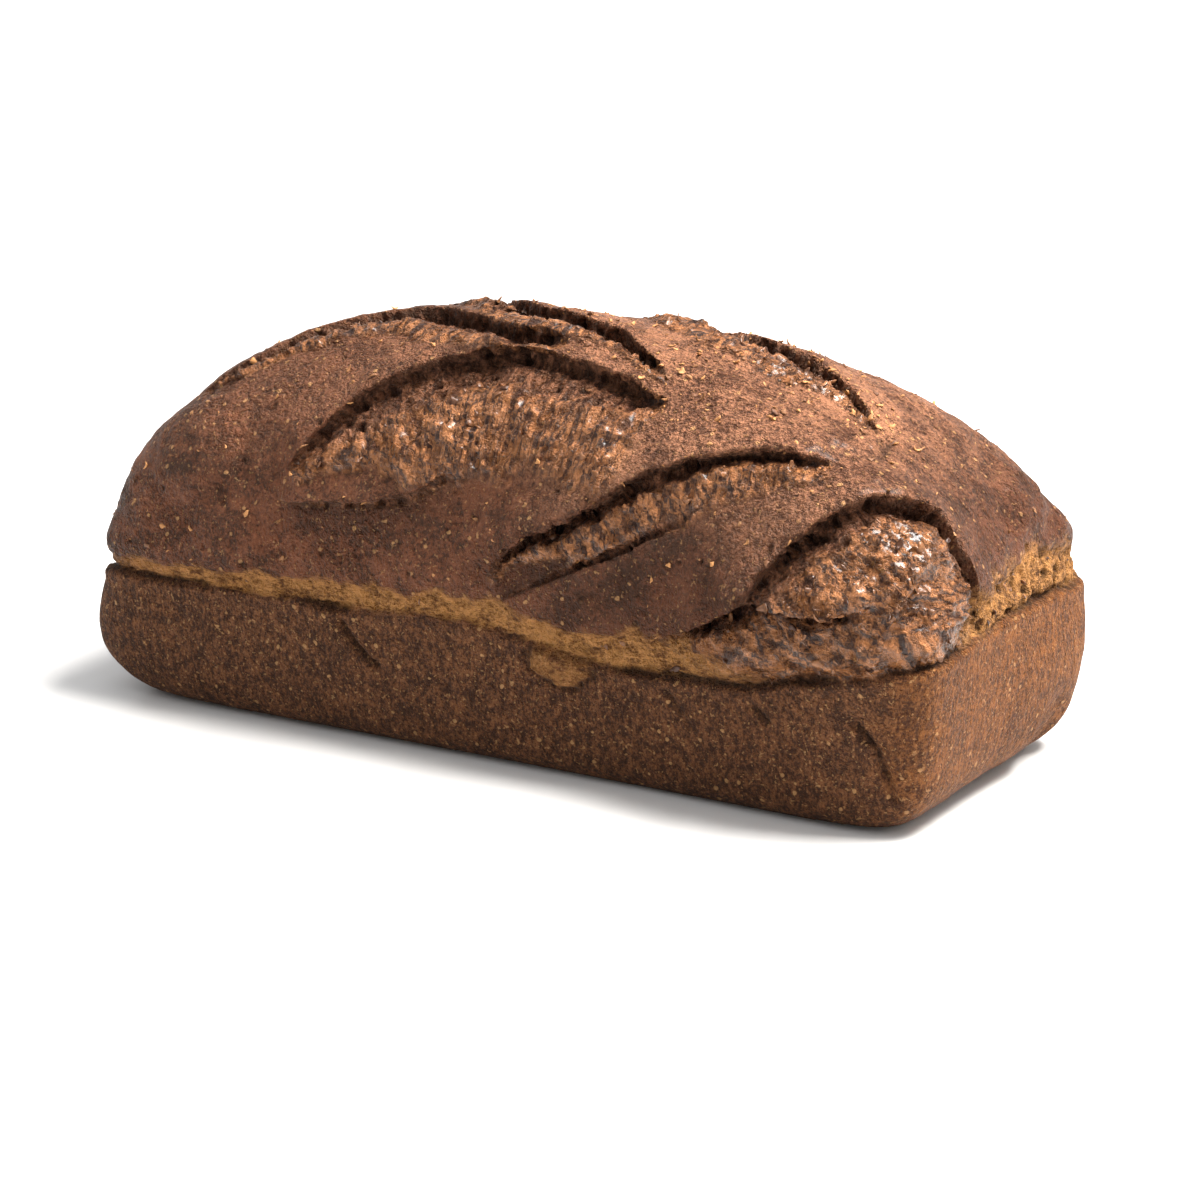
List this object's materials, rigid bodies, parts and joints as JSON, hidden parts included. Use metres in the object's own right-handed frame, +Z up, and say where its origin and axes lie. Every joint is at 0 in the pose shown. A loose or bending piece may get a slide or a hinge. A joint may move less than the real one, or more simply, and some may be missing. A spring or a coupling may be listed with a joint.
{
  "type": "pumpernickel loaf",
  "caption": "Dark rye tin loaf with a flat base, pressed walls, a torn seam at the tin's rim and a domed, slashed top crust.",
  "frame": {"origin": "centre of the loaf's box, on the plane of its flat base", "axes": "+X along the loaf, +Y across it, +Z up from the base"},
  "size_m": [0.292, 0.1158, 0.1253],
  "materials": {
    "crust": "matt dark brown baked rye crust, satin over the dome, with light bran flecks and a torn tan seam"
  },
  "bodies": {
    "root": {"pumpernickel_loaf": "crust"}
  },
  "joints": []
}
